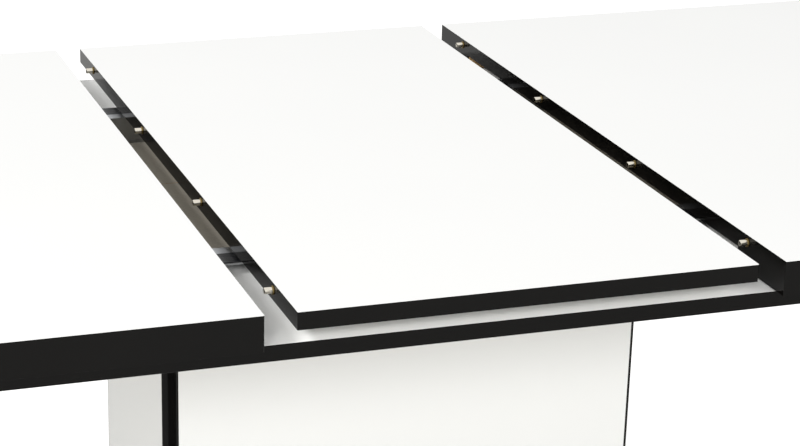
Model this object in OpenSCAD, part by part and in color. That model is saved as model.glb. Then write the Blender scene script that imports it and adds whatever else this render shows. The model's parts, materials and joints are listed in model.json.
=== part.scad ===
// Extending dining table on a box column, shown pulled apart with its loose leaf laid between the tops.
// X runs along the table, -Y is the front, Z is up. The origin is on the floor under the middle.

/* [Table] */
// Height of the top surface above the floor
table_h = 760; // [720:5:800]
// Width of the table from front to back
top_w = 900; // [860:10:1000]
// Length of each half of the top
top_l = 800; // [780:10:1000]
// Length of the loose leaf
leaf_l = 440; // [400:10:460]
// Gap between the leaf and each half, as it stands
gap = 28.5; // [14:0.5:40]
// How far the leaf lies right of the middle of that space
leaf_shift = 1; // [-3:0.5:3]
// How far the pulled-out tops stand right of the column's middle
tops_shift = 2; // [-3:0.5:3]
// Further travel outwards before a half meets its stops
travel_out = 40; // [10:1:55]

/* [Boards] */
// Thickness of the lacquered boards
board_t = 17; // [16:0.5:20]
// Thickness of the strips that thicken the rim of each half
strip_t = 17; // [16:0.5:20]
// Width of those strips
strip_w = 92; // [60:1:110]
// Thickness of the black edging
edge_t = 2; // [1.5:0.1:3]
// Chamfer on the corners of the edging
edge_chamfer = 0.7; // [0.3:0.1:0.9]
// Thickness of the white face that runs over the edging
face_t = 0.3; // [0.2:0.1:1]

/* [Deck] */
// How far the deck under the tops reaches beyond the guide rails
deck_over = 17.5; // [10:0.5:40]
// How far the deck stands back from the edge of the tops
deck_setback = 17; // [8:1:30]
// Thickness of the deck
deck_t = 16; // [14:0.5:20]
// Running clearance between the strips and the deck
deck_clear = 1; // [0.5:0.1:2]
// Thickness of the well's floor
floor_t = 16; // [12:0.5:20]
// How far the floor reaches under the deck
floor_lap = 50; // [40:1:60]
// Where the joint between the two floor boards lies, behind the middle
floor_seam_y = 68; // [40:1:100]
// Width of that joint
floor_seam = 1; // [0.5:0.1:2]
// How much wider the well is than the leaf is long
well_side_play = 2; // [1:0.5:4]
// How much longer the well is than the table is wide
well_end_play = 12; // [6:1:20]

/* [Guide rails] */
// Thickness of the rail's upright web
web_t = 3; // [2:0.1:4]
// Width of the rail's flange
flange_w = 41; // [38:1:46]
// Thickness of the flange
flange_t = 3; // [2.5:0.1:4]
// Width of the black glide strip
glide_w = 25; // [21:1:28]
// Depth that the glide strip is let into the flange
glide_sunk = 1; // [0.5:0.1:1.4]
// How far the glide strip stands proud of the flange
glide_proud = 0.3; // [0.1:0.1:0.6]
// Height of the toe at the foot of the web
toe_h = 2.5; // [1.5:0.5:4]
// How far the toe stands out into the well
toe_w = 2; // [1:0.5:2.5]
// Space from the rail's top to the underside of the boards
rail_gap = 4; // [3.5:0.1:6]
// Fit between the slider and the rail
slide_fit = 0.2; // [0.1:0.05:0.4]

/* [Sliders] */
// Length of the hooked part of a slider
slider_l = 60; // [40:1:75]
// Length of the screw ear at each end of a slider
slider_ear = 15; // [13:1:20]
// Distance from the inner edge of a half to its first slider
slider_in = 20; // [12:1:30]
// Distance between the two sliders on one rail
slider_spacing = 270; // [200:5:280]
// Thickness of the hook beyond the flange
hook_t = 10; // [9:0.5:14]
// Depth of the hook's lip under the flange
hook_lip = 5; // [4:0.5:7]
// Length of a rail stop
stop_l = 14; // [10:1:20]
// Height of a rail stop on the flange
stop_h = 3.2; // [2.5:0.1:3.4]

/* [Leaf pins] */
// Diameter of a leaf pin
pin_d = 6; // [5:0.5:7]
// How far a pin stands out
pin_out = 8.5; // [7:0.5:12]
// Length of a pin inside the board
pin_in = 22; // [15:1:30]
// How far a pin's collar stands out round it
collar_rim = 1.25; // [0.75:0.25:2]
// Thickness of a pin's collar
collar_t = 1.2; // [0.8:0.1:1.4]
// Distance of the pins' axes below the surface
pin_drop = 7.5; // [7:0.5:9]
// Distance between neighbouring pins
pin_pitch = 250; // [200:5:260]
// Radial play of a pin in its socket
pin_play = 0.08; // [0.04:0.01:0.1]
// Wall of a socket
socket_wall = 2; // [1.5:0.25:2]
// Length of a socket
socket_l = 24; // [16:1:30]
// Play between a leaf pad and the rail
pad_fit = 0.1; // [0.05:0.05:0.3]

/* [Column] */
// Width of the column over its side panels
column_w = 520; // [460:1:560]
// Depth of the side panels
column_d = 260; // [220:1:320]
// How far the side panels stand out beyond the face panels
face_inset = 10.5; // [8:0.5:14]
// Thickness of the face panels
face_panel_t = 19; // [16:0.5:22]
// Thickness of the top plate over the column
plate_t = 17; // [15:0.5:22]
// Length of the top plate
plate_l = 640; // [600:5:700]

/* [Plinth] */
// Length of the plinth
plinth_l = 860; // [780:10:960]
// Width of the plinth
plinth_w = 600; // [520:10:700]
// Height of a floor glide
glide_h = 6; // [4:0.5:12]
// Diameter of a floor glide
glide_d = 30; // [22:1:34]

/* [Hidden] */

WHITE = "#fbfbf9";
BLACK = "#1d1b19";
RAW = "#cdb28a";
ALUMINIUM = "#b9bcbe";
STEEL = "#9a9c9e";
NICKEL = "#c9c4b8";

round_fn = 48;
hole_play = 0.1;
FRONT = 1;
BACK = -1;

z_top = table_h;
z_board = z_top - board_t;
z_strip = z_board - strip_t;
z_deck = z_strip - deck_clear;
z_deck_low = z_deck - deck_t;
z_floor_low = z_deck_low - floor_t;
z_plate_low = z_floor_low - plate_t;
z_rail = z_board - rail_gap;
z_glide = z_rail + glide_proud;
z_flange_low = z_rail - flange_t;
z_plinth_low = glide_h;
z_plinth_board = z_plinth_low + strip_t;
z_plinth = z_plinth_board + board_t;
z_pin = z_top - pin_drop;

x_in = leaf_l / 2 + gap;
x_out = x_in + top_l;
deck_w = top_w - 2 * deck_setback;
well_w = leaf_l + well_side_play;
well_l = top_w + well_end_play;
web_in = well_w / 2;
web_out = web_in + web_t;
flange_out = web_in + flange_w;
glide_in = flange_out - glide_w;
slider_total = slider_l + 2 * slider_ear;
slider_first = x_in + slider_in;
slider_last_end = slider_first + slider_spacing + slider_total;
rail_half = slider_last_end + travel_out + stop_l;
deck_l = 2 * (rail_half + deck_over);
floor_half_l = well_l / 2 + floor_lap;
floor_half_w = web_out + floor_lap;
plate_half_w = web_out + 0.6 * floor_lap;
pin_rows = [-1.5 * pin_pitch, -0.5 * pin_pitch, 0.5 * pin_pitch, 1.5 * pin_pitch];
collar_d = pin_d + 2 * collar_rim;
socket_d = pin_d + 2 * socket_wall;

// Wood screws
screw_d = 4;
screw_head = 8;
screw_rim = 0.4;
screw_recess_l = 4.4;
screw_recess_w = 0.9;
screw_recess_h = 1.4;
screw_point = 2;
screw_lead = 1;
pan_head = 7;
pan_head_h = 2.2;
pan_round = 0.8;
rail_screw_l = 25;
rail_screw_inset = 36;
seam_screw_inset = 15;
rail_screw_step = (well_l - 2 * rail_screw_inset) / 7;
rail_screw_x = [for (k = [-3.5 : 1 : 3.5]) k * rail_screw_step];
bite = 0.75;
floor_screw_l = floor_t + bite * deck_t;
plate_screw_l = plate_t + floor_t + bite * deck_t;
stop_screw_l = 10;

// Dowels and cam fittings
dowel_d = 8;
dowel_l = 34;
cam_d = 15;
cam_h = 12.4;
cam_reach = 34;
cam_channel_over = 2;
cam_bolt_d = 6;
cam_bolt_grip = 10;
cam_bolt_head_d = 7;
cam_bolt_head_l = 3;

// Column
rib_t = board_t;
rib_half_l = column_w / 2 - board_t;
face_half_l = column_w / 2 - face_inset;
column_h = z_plate_low - z_plinth;
rib_z = [z_plinth, z_plinth + (column_h - rib_t) / 2, z_plate_low - rib_t];
cam_y = [-0.3 * column_d, 0.3 * column_d];
dowel_y = [-0.4 * column_d, 0, 0.4 * column_d];
bracket_leg = 28;
bracket_w = 18;
bracket_t = 2;
bracket_x = 0.6 * rib_half_l;
bracket_hole = 4.5;
bracket_screw_l = 12;
bracket_screw_at = 0.4 * bracket_leg;

// Leaf pads
pad_l = 50;
pad_w = 17;
pad_in = (glide_in + flange_out - pad_w) / 2;
pad_x = [-0.33 * leaf_l, 0, 0.33 * leaf_l];

module span(x0, x1, y0, y1, z0, z1) {
    translate([x0, y0, z0]) cube([x1 - x0, y1 - y0, z1 - z0]);
}

// Draws its children as they are on the right, or mirrored on the left
module on_side(side) {
    if (side < 0) mirror([1, 0, 0]) children();
    else children();
}

// Draws its children as they are at the back, or mirrored at the front
module at_face(face) {
    if (face == FRONT) mirror([0, 1, 0]) children();
    else children();
}

module bore_x(d, x0, x1, y, z) {
    translate([x0, y, z]) rotate([0, 90, 0]) cylinder(d = d, h = x1 - x0, $fn = round_fn);
}

module chamfered(l, w, c) {
    polygon([
        [-l / 2 + c, -w / 2], [l / 2 - c, -w / 2], [l / 2, -w / 2 + c], [l / 2, w / 2 - c],
        [l / 2 - c, w / 2], [-l / 2 + c, w / 2], [-l / 2, w / 2 - c], [-l / 2, -w / 2 + c]
    ]);
}

// Edging that runs round a board of the outer size l by w
module edging(l, w, z0, h) {
    translate([0, 0, z0]) linear_extrude(h) difference() {
        chamfered(l, w, edge_chamfer);
        square([l - 2 * edge_t, w - 2 * edge_t], center = true);
    }
}

// The white face of a board of the outer size l by w, which covers its edging
module face_sheet(l, w, z) {
    translate([0, 0, z - face_t]) linear_extrude(face_t) chamfered(l, w, edge_chamfer);
}

// Countersunk screw with its head's face at the origin, driven along +Z
module countersunk(len, grow = 0, lead = 0) {
    cone = (screw_head - screw_d) / 2;
    rotate_extrude($fn = 32) polygon([
        [0, -lead], [screw_head / 2 + grow, -lead], [screw_head / 2 + grow, screw_rim],
        [screw_d / 2 + grow, screw_rim + cone], [screw_d / 2 + grow, len - screw_point + grow],
        [0, len + grow]
    ]);
}

module screw(len) {
    difference() {
        countersunk(len);
        for (turn = [0, 90]) rotate([0, 0, turn])
            translate([-screw_recess_l / 2, -screw_recess_w / 2, -1])
                cube([screw_recess_l, screw_recess_w, screw_recess_h + 1]);
    }
}

module screw_hole(len) {
    countersunk(len, hole_play / 2, screw_lead);
}

// Pan-head screw with the underside of its head at the origin, driven along +Z
module pan_screw(len) {
    difference() {
        rotate_extrude($fn = 32) polygon([
            [0, -pan_head_h], [pan_head / 2 - pan_round, -pan_head_h],
            [pan_head / 2, -pan_head_h + pan_round], [pan_head / 2, 0], [screw_d / 2, 0],
            [screw_d / 2, len - screw_point], [0, len]
        ]);
        for (turn = [0, 90]) rotate([0, 0, turn])
            translate([-screw_recess_l / 2, -screw_recess_w / 2, -pan_head_h - 1])
                cube([screw_recess_l, screw_recess_w, screw_recess_h + 1]);
    }
}

module pan_screw_hole(len) {
    translate([0, 0, -pan_head_h - 1])
        cylinder(d = screw_d + hole_play, h = len + pan_head_h + 1 + hole_play, $fn = 32);
}

// A pin with its collar, seen along +X, with the board's edge at the origin
module pin_profile() {
    tip = 0.17 * pin_d;
    back = 0.1 * pin_d;
    rim = 0.3 * collar_t;
    rotate([0, 90, 0]) rotate_extrude($fn = round_fn) polygon([
        [0, -pin_in], [pin_d / 2 - back, -pin_in], [pin_d / 2, -pin_in + back], [pin_d / 2, 0],
        [collar_d / 2, 0], [collar_d / 2, collar_t - rim], [collar_d / 2 - rim, collar_t],
        [pin_d / 2, collar_t], [pin_d / 2, pin_out - tip],
        [pin_d / 2 - 0.35 * tip, pin_out - 0.35 * tip], [pin_d / 2 - tip, pin_out], [0, pin_out]
    ]);
}

module pin_holes(x_edge) {
    for (y = pin_rows) bore_x(pin_d + hole_play, x_edge - edge_t - 1, x_edge + pin_in + 1, y, z_pin);
}

// Socket bores, open towards -X at x_edge, with a wider mouth in the edging for the collar
module socket_holes(x_edge) {
    for (y = pin_rows) {
        bore_x(max(collar_d, socket_d) + 1, x_edge - 1, x_edge + edge_t, y, z_pin);
        bore_x(socket_d + hole_play, x_edge - 1, x_edge + edge_t + socket_l + hole_play, y, z_pin);
    }
}

module sockets(x_edge) {
    flare = 0.4 * socket_wall;
    for (y = pin_rows) translate([x_edge + edge_t, y, z_pin]) rotate([0, 90, 0])
        rotate_extrude($fn = round_fn) polygon([
            [pin_d / 2 + pin_play + flare, 0], [socket_d / 2, 0], [socket_d / 2, socket_l],
            [0, socket_l], [0, socket_l - socket_wall],
            [pin_d / 2 + pin_play, socket_l - socket_wall], [pin_d / 2 + pin_play, flare]
        ]);
}

// Sliding halves of the top
slider_reach = 20;
hook_reach = 16;
hook_bevel = 1.5;
slider_u_in = flange_out - slider_reach;
hook_u_in = flange_out - hook_reach;
slider_u_out = flange_out + slide_fit + hook_t;
slider_screw_u = flange_out + slide_fit + hook_t / 2;
slider_starts = [slider_first, slider_first + slider_spacing];
slider_pad_low = z_glide + slide_fit;
slider_screw_l = z_board - slider_pad_low + 0.6 * board_t;

// Draws its children, made on the right, where the right or left half now stands
module pulled(side) {
    translate([tops_shift, 0, 0]) on_side(side) children();
}

module half_edge_shape() {
    translate([x_in + top_l / 2, 0, 0]) edging(top_l, top_w, z_board, board_t - face_t);
    difference() {
        translate([x_in + top_l / 2, 0, 0]) edging(top_l, top_w, z_strip, strip_t);
        span(x_in - 1, x_in + edge_t + 1, -top_w / 2 + strip_w, top_w / 2 - strip_w,
             z_strip - 1, z_board);
    }
}

module half_board_shape() {
    translate([x_in + top_l / 2, 0, 0]) face_sheet(top_l, top_w, z_top);
    difference() {
        span(x_in + edge_t, x_out - edge_t, -top_w / 2 + edge_t, top_w / 2 - edge_t, z_board, z_top);
        for (face = [FRONT, BACK]) at_face(face) for (x = slider_starts) slider_screw_holes(x);
    }
}

module slider_screw_places(x) {
    for (dx = [slider_ear / 2, slider_total - slider_ear / 2])
        translate([x + dx, slider_screw_u, slider_pad_low]) children();
}

module slider_screw_holes(x) {
    slider_screw_places(x) pan_screw_hole(slider_screw_l);
}

// Long strip along the back of a half; the front one is its mirror image
module long_strip() {
    span(x_in + edge_t, x_out - edge_t, top_w / 2 - strip_w, top_w / 2 - edge_t, z_strip, z_board);
}

module end_strip() {
    span(x_out - strip_w, x_out - edge_t, -top_w / 2 + strip_w, top_w / 2 - strip_w,
         z_strip, z_board);
}

// Hooked slider that rides on the glide strip and grips the flange from outside
module slider(x) {
    lip_top = z_flange_low - slide_fit;
    lip_low = lip_top - hook_lip;
    hook_in = flange_out + slide_fit;
    difference() {
        union() {
            span(x, x + slider_total, slider_u_in, slider_u_out, slider_pad_low, z_board);
            translate([x + slider_ear, 0, 0]) rotate([90, 0, 90]) linear_extrude(slider_l) polygon([
                [hook_in, z_board], [slider_u_out, z_board], [slider_u_out, lip_low + hook_bevel],
                [slider_u_out - hook_bevel, lip_low], [hook_u_in + hook_bevel, lip_low],
                [hook_u_in, lip_low + hook_bevel], [hook_u_in, lip_top], [hook_in, lip_top]
            ]);
        }
        slider_screw_holes(x);
    }
}

module sliders() {
    for (face = [FRONT, BACK]) at_face(face) for (x = slider_starts) slider(x);
}

module slider_screws() {
    for (face = [FRONT, BACK]) at_face(face) for (x = slider_starts)
        slider_screw_places(x) pan_screw(slider_screw_l);
}

module left_top_board() {
    color(WHITE) pulled(-1) difference() {
        half_board_shape();
        socket_holes(x_in);
    }
}

module left_top_edge() {
    color(BLACK) pulled(-1) difference() {
        half_edge_shape();
        socket_holes(x_in);
    }
}

module left_front_strip() {
    color(RAW) pulled(-1) at_face(FRONT) long_strip();
}

module left_back_strip() {
    color(RAW) pulled(-1) long_strip();
}

module left_end_strip() {
    color(RAW) pulled(-1) end_strip();
}

module left_sliders() {
    color("#2b2b2c") pulled(-1) sliders();
}

module left_slider_screws() {
    color(STEEL) pulled(-1) slider_screws();
}

module left_sockets() {
    color(NICKEL) pulled(-1) sockets(x_in);
}

module right_top_board() {
    color(WHITE) pulled(1) difference() {
        half_board_shape();
        pin_holes(x_in);
    }
}

module right_top_edge() {
    color(BLACK) pulled(1) difference() {
        half_edge_shape();
        pin_holes(x_in);
    }
}

module right_front_strip() {
    color(RAW) pulled(1) at_face(FRONT) long_strip();
}

module right_back_strip() {
    color(RAW) pulled(1) long_strip();
}

module right_end_strip() {
    color(RAW) pulled(1) end_strip();
}

module right_sliders() {
    color("#2b2b2c") pulled(1) sliders();
}

module right_slider_screws() {
    color(STEEL) pulled(1) slider_screws();
}

// The right half's pins point left, towards the leaf
module right_pins() {
    color(NICKEL) pulled(1) for (y = pin_rows)
        translate([x_in, y, z_pin]) mirror([1, 0, 0]) pin_profile();
}

// Loose leaf
module laid() {
    translate([tops_shift + leaf_shift, 0, 0]) children();
}

module leaf_holes() {
    pin_holes(-leaf_l / 2);
    mirror([1, 0, 0]) socket_holes(-leaf_l / 2);
}

module leaf_board() {
    color(WHITE) laid() {
        face_sheet(leaf_l, top_w, z_top);
        difference() {
            span(-leaf_l / 2 + edge_t, leaf_l / 2 - edge_t, -top_w / 2 + edge_t,
                 top_w / 2 - edge_t, z_board, z_top);
            leaf_holes();
        }
    }
}

module leaf_edge() {
    color(BLACK) laid() difference() {
        edging(leaf_l, top_w, z_board, board_t - face_t);
        leaf_holes();
    }
}

module leaf_pins() {
    color(NICKEL) laid() for (y = pin_rows)
        translate([-leaf_l / 2, y, z_pin]) mirror([1, 0, 0]) pin_profile();
}

module leaf_sockets() {
    color(NICKEL) laid() mirror([1, 0, 0]) sockets(-leaf_l / 2);
}

module leaf_pads() {
    color("#3a3a3a") laid() for (face = [FRONT, BACK]) at_face(face) for (x = pad_x)
        span(x - pad_l / 2, x + pad_l / 2, pad_in, pad_in + pad_w, z_glide + pad_fit, z_board);
}

// Deck: two long boards and two end boards round the stowage well
dowel_inset = 50;
deck_dowel_x = [well_l / 2 + dowel_inset, (well_l + deck_l) / 4, deck_l / 2 - dowel_inset];

module deck_face(x0, x1, y0, y1) {
    intersection() {
        face_sheet(deck_l, deck_w, z_deck);
        span(x0, x1, y0, y1, z_deck_low, z_deck + 1);
    }
}

module deck_long_board() {
    difference() {
        union() {
            deck_face(-deck_l, deck_l, web_out, deck_w);
            span(-deck_l / 2 + edge_t, deck_l / 2 - edge_t, web_out, deck_w / 2 - edge_t,
                 z_deck_low, z_deck);
        }
        rail_screw_holes();
        deck_dowel_holes();
        floor_screw_holes();
        plate_screw_places() screw_hole(plate_screw_l);
    }
}

module deck_end_board() {
    difference() {
        union() {
            deck_face(well_l / 2 + edge_t, deck_l, -web_out, web_out);
            span(well_l / 2 + edge_t, deck_l / 2 - edge_t, -web_out, web_out, z_deck_low, z_deck);
        }
        for (face = [FRONT, BACK]) at_face(face) deck_dowel_holes();
        for (face = [FRONT, BACK]) at_face(face) floor_screw_holes();
    }
}

module deck_dowel_at(side, x, grow) {
    translate([side * x, web_out - dowel_l / 2 - grow, (z_deck + z_deck_low) / 2])
        rotate([-90, 0, 0]) cylinder(d = dowel_d + 2 * grow, h = dowel_l + 2 * grow, $fn = 32);
}

module deck_dowel_holes() {
    for (side = [-1, 1]) for (x = deck_dowel_x) deck_dowel_at(side, x, hole_play / 2);
}

module deck_front_board() {
    color(WHITE) at_face(FRONT) deck_long_board();
}

module deck_back_board() {
    color(WHITE) deck_long_board();
}

module deck_left_board() {
    color(WHITE) on_side(-1) deck_end_board();
}

module deck_right_board() {
    color(WHITE) deck_end_board();
}

module deck_edge() {
    color(BLACK) {
        edging(deck_l, deck_w, z_deck_low, deck_t - face_t);
        for (side = [-1, 1]) on_side(side)
            span(well_l / 2, well_l / 2 + edge_t, -web_in, web_in, z_deck_low, z_deck);
    }
}

module deck_dowels() {
    color(RAW) for (face = [FRONT, BACK]) at_face(face)
        for (side = [-1, 1]) for (x = deck_dowel_x) deck_dowel_at(side, x, 0);
}

// Floor of the well, screwed up into the deck from below
floor_screw_x = [-well_l / 2 - floor_lap / 2, -0.62 * well_l / 2, 0.62 * well_l / 2,
                 well_l / 2 + floor_lap / 2];
seam_screw_y = floor_seam_y + seam_screw_inset;

module floor_screw_places() {
    for (x = floor_screw_x)
        translate([x, web_out + 0.8 * floor_lap, z_floor_low]) children();
    for (side = [-1, 1])
        translate([side * (well_l / 2 + floor_lap / 2), seam_screw_y, z_floor_low]) children();
}

module floor_screw_holes() {
    floor_screw_places() screw_hole(floor_screw_l);
}

module floor_board(y0, y1) {
    difference() {
        span(-floor_half_l, floor_half_l, y0, y1, z_floor_low, z_deck_low);
        for (face = [FRONT, BACK]) at_face(face) floor_screw_holes();
        plate_screw_holes();
    }
}

module well_floor_front() {
    color("#e7e3dc") floor_board(-floor_half_w, floor_seam_y - floor_seam / 2);
}

module well_floor_back() {
    color("#e7e3dc") floor_board(floor_seam_y + floor_seam / 2, floor_half_w);
}

module floor_screws() {
    color(STEEL) for (face = [FRONT, BACK]) at_face(face) floor_screw_places() screw(floor_screw_l);
}

// Guide rails: an angle with a stepped flange that hangs out over the deck
module rail_profile(foot, toe) {
    fillet = 1.5;
    polygon(concat(
        toe ? [[web_in - toe_w, foot + toe_h], [web_in - toe_w, foot]] : [[web_in, foot]],
        [
            [web_out, foot], [web_out, z_flange_low - fillet], [web_out + fillet, z_flange_low],
            [flange_out, z_flange_low], [flange_out, z_rail - glide_sunk],
            [glide_in, z_rail - glide_sunk], [glide_in, z_rail], [web_in, z_rail]
        ],
        toe ? [[web_in, foot + toe_h]] : []
    ));
}

module rail_run(x0, x1, foot, toe) {
    translate([x0, 0, 0]) rotate([90, 0, 90]) linear_extrude(x1 - x0) rail_profile(foot, toe);
}

module rail_screw_places() {
    for (x = rail_screw_x)
        translate([x, web_in, (z_deck + z_deck_low) / 2]) rotate([-90, 0, 0]) children();
}

module rail_screw_holes() {
    rail_screw_places() screw_hole(rail_screw_l);
}

module stop_screw_places() {
    for (side = [-1, 1])
        translate([side * (rail_half - stop_l / 2), (web_in + glide_in) / 2, z_rail + stop_h])
            mirror([0, 0, 1]) children();
}

module rail() {
    difference() {
        union() {
            rail_run(-well_l / 2 + hole_play, well_l / 2 - hole_play, z_deck_low, true);
            rail_run(-rail_half, rail_half, z_deck, false);
        }
        rail_screw_holes();
        stop_screw_places() screw_hole(stop_screw_l);
    }
}

module front_rail() {
    color(ALUMINIUM) at_face(FRONT) rail();
}

module back_rail() {
    color(ALUMINIUM) rail();
}

module glide_strip() {
    span(-rail_half + stop_l, rail_half - stop_l, glide_in, flange_out,
         z_rail - glide_sunk, z_glide);
}

module front_glide_strip() {
    color("#26282a") at_face(FRONT) glide_strip();
}

module back_glide_strip() {
    color("#26282a") glide_strip();
}

module rail_screws() {
    color(STEEL) for (face = [FRONT, BACK]) at_face(face) {
        rail_screw_places() screw(rail_screw_l);
        stop_screw_places() screw(stop_screw_l);
    }
}

// Stops at the rail ends, which catch the outer sliders
module rail_stop() {
    difference() {
        union() {
            span(rail_half - stop_l, rail_half, web_in, flange_out, z_rail, z_rail + stop_h);
            span(rail_half - stop_l, rail_half, glide_in, flange_out, z_rail - glide_sunk, z_rail);
        }
        stop_screw_places() screw_hole(stop_screw_l);
    }
}

module rail_stops() {
    color("#303030") for (face = [FRONT, BACK]) at_face(face)
        for (side = [-1, 1]) on_side(side) rail_stop();
}

// Plate that carries the deck on the column
plate_screw_x = [for (k = [-2, -1, 1, 2]) k * rail_screw_step];
plate_screw_y = web_out + 0.3 * floor_lap;
rib_screw_x = [-0.7 * rib_half_l, 0, 0.7 * rib_half_l];
rib_screw_y = 0.3 * column_d;
head_screw_l = rib_t + bite * plate_t;
foot_screw_l = board_t + bite * rib_t;

module plate_screw_places() {
    for (x = plate_screw_x) translate([x, plate_screw_y, z_plate_low]) children();
}

module plate_screw_holes() {
    for (face = [FRONT, BACK]) at_face(face) plate_screw_places() screw_hole(plate_screw_l);
}

module rib_screw_places(z) {
    for (x = rib_screw_x) for (y = [-rib_screw_y, rib_screw_y]) translate([x, y, z]) children();
}

module top_plate() {
    color("#e9e6df") difference() {
        span(-plate_l / 2, plate_l / 2, -plate_half_w, plate_half_w, z_plate_low, z_floor_low);
        plate_screw_holes();
        rib_screw_places(z_plate_low - rib_t) screw_hole(head_screw_l);
    }
}

module plate_screws() {
    color(STEEL) {
        for (face = [FRONT, BACK]) at_face(face) plate_screw_places() screw(plate_screw_l);
        rib_screw_places(z_plate_low - rib_t) screw(head_screw_l);
    }
}

// Box column
module side_panel() {
    difference() {
        span(rib_half_l, column_w / 2, -column_d / 2 + edge_t, column_d / 2 - edge_t,
             z_plinth, z_plate_low);
        rib_dowel_holes();
        cam_bolt_holes();
    }
}

module rib_joint_rows(ys) {
    for (z = rib_z) for (y = ys) translate([rib_half_l, y, z + rib_t / 2])
        rotate([0, -90, 0]) children();
}

module rib_dowel_holes() {
    rib_joint_rows(dowel_y) translate([0, 0, -dowel_l / 3 - hole_play / 2])
        cylinder(d = dowel_d + hole_play, h = dowel_l + hole_play, $fn = 32);
}

module cam_bolt_holes() {
    rib_joint_rows(cam_y) translate([0, 0, -cam_bolt_grip - hole_play])
        cylinder(d = cam_bolt_d + hole_play, h = cam_bolt_grip + cam_reach, $fn = 32);
}

module cam_bolt_channels() {
    rib_joint_rows(cam_y)
        cylinder(d = cam_bolt_head_d + hole_play, h = cam_reach + cam_channel_over, $fn = 32);
}

module cam_places() {
    for (z = rib_z) for (y = cam_y) translate([rib_half_l - cam_reach, y, z]) children();
}

module column_left_panel() {
    color(WHITE) on_side(-1) side_panel();
}

module column_right_panel() {
    color(WHITE) side_panel();
}

module face_panel() {
    difference() {
        span(-face_half_l + edge_t, face_half_l - edge_t, column_d / 2,
             column_d / 2 + face_panel_t, z_plinth, z_plate_low);
        bracket_places() face_screw_place() pan_screw_hole(bracket_screw_l);
    }
}

module column_front_panel() {
    color(WHITE) at_face(FRONT) face_panel();
}

module column_back_panel() {
    color(WHITE) face_panel();
}

module side_panel_edge() {
    color(BLACK) for (face = [FRONT, BACK]) at_face(face) for (side = [-1, 1]) on_side(side)
        span(rib_half_l, column_w / 2, column_d / 2 - edge_t, column_d / 2, z_plinth, z_plate_low);
}

module face_panel_edge() {
    color(BLACK) for (face = [FRONT, BACK]) at_face(face) for (side = [-1, 1]) on_side(side)
        translate([0, 0, z_plinth]) linear_extrude(column_h) polygon([
            [face_half_l - edge_t, column_d / 2], [face_half_l, column_d / 2],
            [face_half_l, column_d / 2 + face_panel_t - edge_chamfer],
            [face_half_l - edge_chamfer, column_d / 2 + face_panel_t],
            [face_half_l - edge_t, column_d / 2 + face_panel_t]
        ]);
}

module column_ribs() {
    color("#e9e6df") for (i = [0 : len(rib_z) - 1]) difference() {
        span(-rib_half_l, rib_half_l, -column_d / 2, column_d / 2, rib_z[i], rib_z[i] + rib_t);
        for (side = [-1, 1]) on_side(side) {
            rib_dowel_holes();
            cam_bolt_channels();
            cam_places() translate([0, 0, -1])
                cylinder(d = cam_d + hole_play, h = cam_h + 1 + hole_play, $fn = round_fn);
        }
        for (face = [FRONT, BACK]) at_face(face) bracket_places() rib_screw_place()
            pan_screw_hole(bracket_screw_l);
        if (i == 0) rib_screw_places(z_plinth_board) screw_hole(foot_screw_l);
        if (i == len(rib_z) - 1) rib_screw_places(z_plate_low - rib_t) screw_hole(head_screw_l);
    }
}

module column_dowels() {
    color(RAW) for (side = [-1, 1]) on_side(side) rib_joint_rows(dowel_y)
        translate([0, 0, -dowel_l / 3]) cylinder(d = dowel_d, h = dowel_l, $fn = 32);
}

module cam_locks() {
    color(STEEL) for (side = [-1, 1]) on_side(side) difference() {
        cam_places() cylinder(d = cam_d, h = cam_h, $fn = round_fn);
        cam_bolt_channels();
    }
}

module cam_bolts() {
    color(STEEL) for (side = [-1, 1]) on_side(side) rib_joint_rows(cam_y) {
        translate([0, 0, -cam_bolt_grip])
            cylinder(d = cam_bolt_d, h = cam_bolt_grip + cam_reach - cam_bolt_head_l, $fn = 32);
        translate([0, 0, cam_reach - cam_bolt_head_l])
            cylinder(d = cam_bolt_head_d, h = cam_bolt_head_l, $fn = 32);
    }
}

// Steel angles that hold the face panels to the ribs from inside
module bracket_places() {
    for (x = [-bracket_x, bracket_x]) {
        translate([x, column_d / 2, rib_z[0] + rib_t]) children();
        translate([x, column_d / 2, rib_z[1] + rib_t]) children();
        translate([x, column_d / 2, rib_z[2]]) mirror([0, 0, 1]) children();
    }
}

module rib_screw_place() {
    translate([0, bracket_screw_at - bracket_leg, bracket_t]) mirror([0, 0, 1]) children();
}

module face_screw_place() {
    translate([0, -bracket_t, bracket_leg - bracket_screw_at]) rotate([-90, 0, 0]) children();
}

module face_bracket() {
    difference() {
        union() {
            span(-bracket_w / 2, bracket_w / 2, -bracket_leg, 0, 0, bracket_t);
            span(-bracket_w / 2, bracket_w / 2, -bracket_t, 0, 0, bracket_leg);
        }
        rib_screw_place() translate([0, 0, -1])
            cylinder(d = bracket_hole, h = bracket_t + 2, $fn = 32);
        face_screw_place() translate([0, 0, -1])
            cylinder(d = bracket_hole, h = bracket_t + 2, $fn = 32);
    }
}

module face_brackets() {
    color(STEEL) for (face = [FRONT, BACK]) at_face(face) bracket_places() face_bracket();
}

module bracket_screws() {
    color(STEEL) for (face = [FRONT, BACK]) at_face(face) bracket_places() {
        rib_screw_place() pan_screw(bracket_screw_l);
        face_screw_place() pan_screw(bracket_screw_l);
    }
}

// Plinth
module plinth_board() {
    color(WHITE) difference() {
        union() {
            face_sheet(plinth_l, plinth_w, z_plinth);
            span(-plinth_l / 2 + edge_t, plinth_l / 2 - edge_t, -plinth_w / 2 + edge_t,
                 plinth_w / 2 - edge_t, z_plinth_board, z_plinth);
        }
        rib_screw_places(z_plinth_board) screw_hole(foot_screw_l);
    }
}

module plinth_long_strips() {
    color(RAW) for (face = [FRONT, BACK]) at_face(face)
        span(-plinth_l / 2 + edge_t, plinth_l / 2 - edge_t, plinth_w / 2 - strip_w,
             plinth_w / 2 - edge_t, z_plinth_low, z_plinth_board);
}

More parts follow.
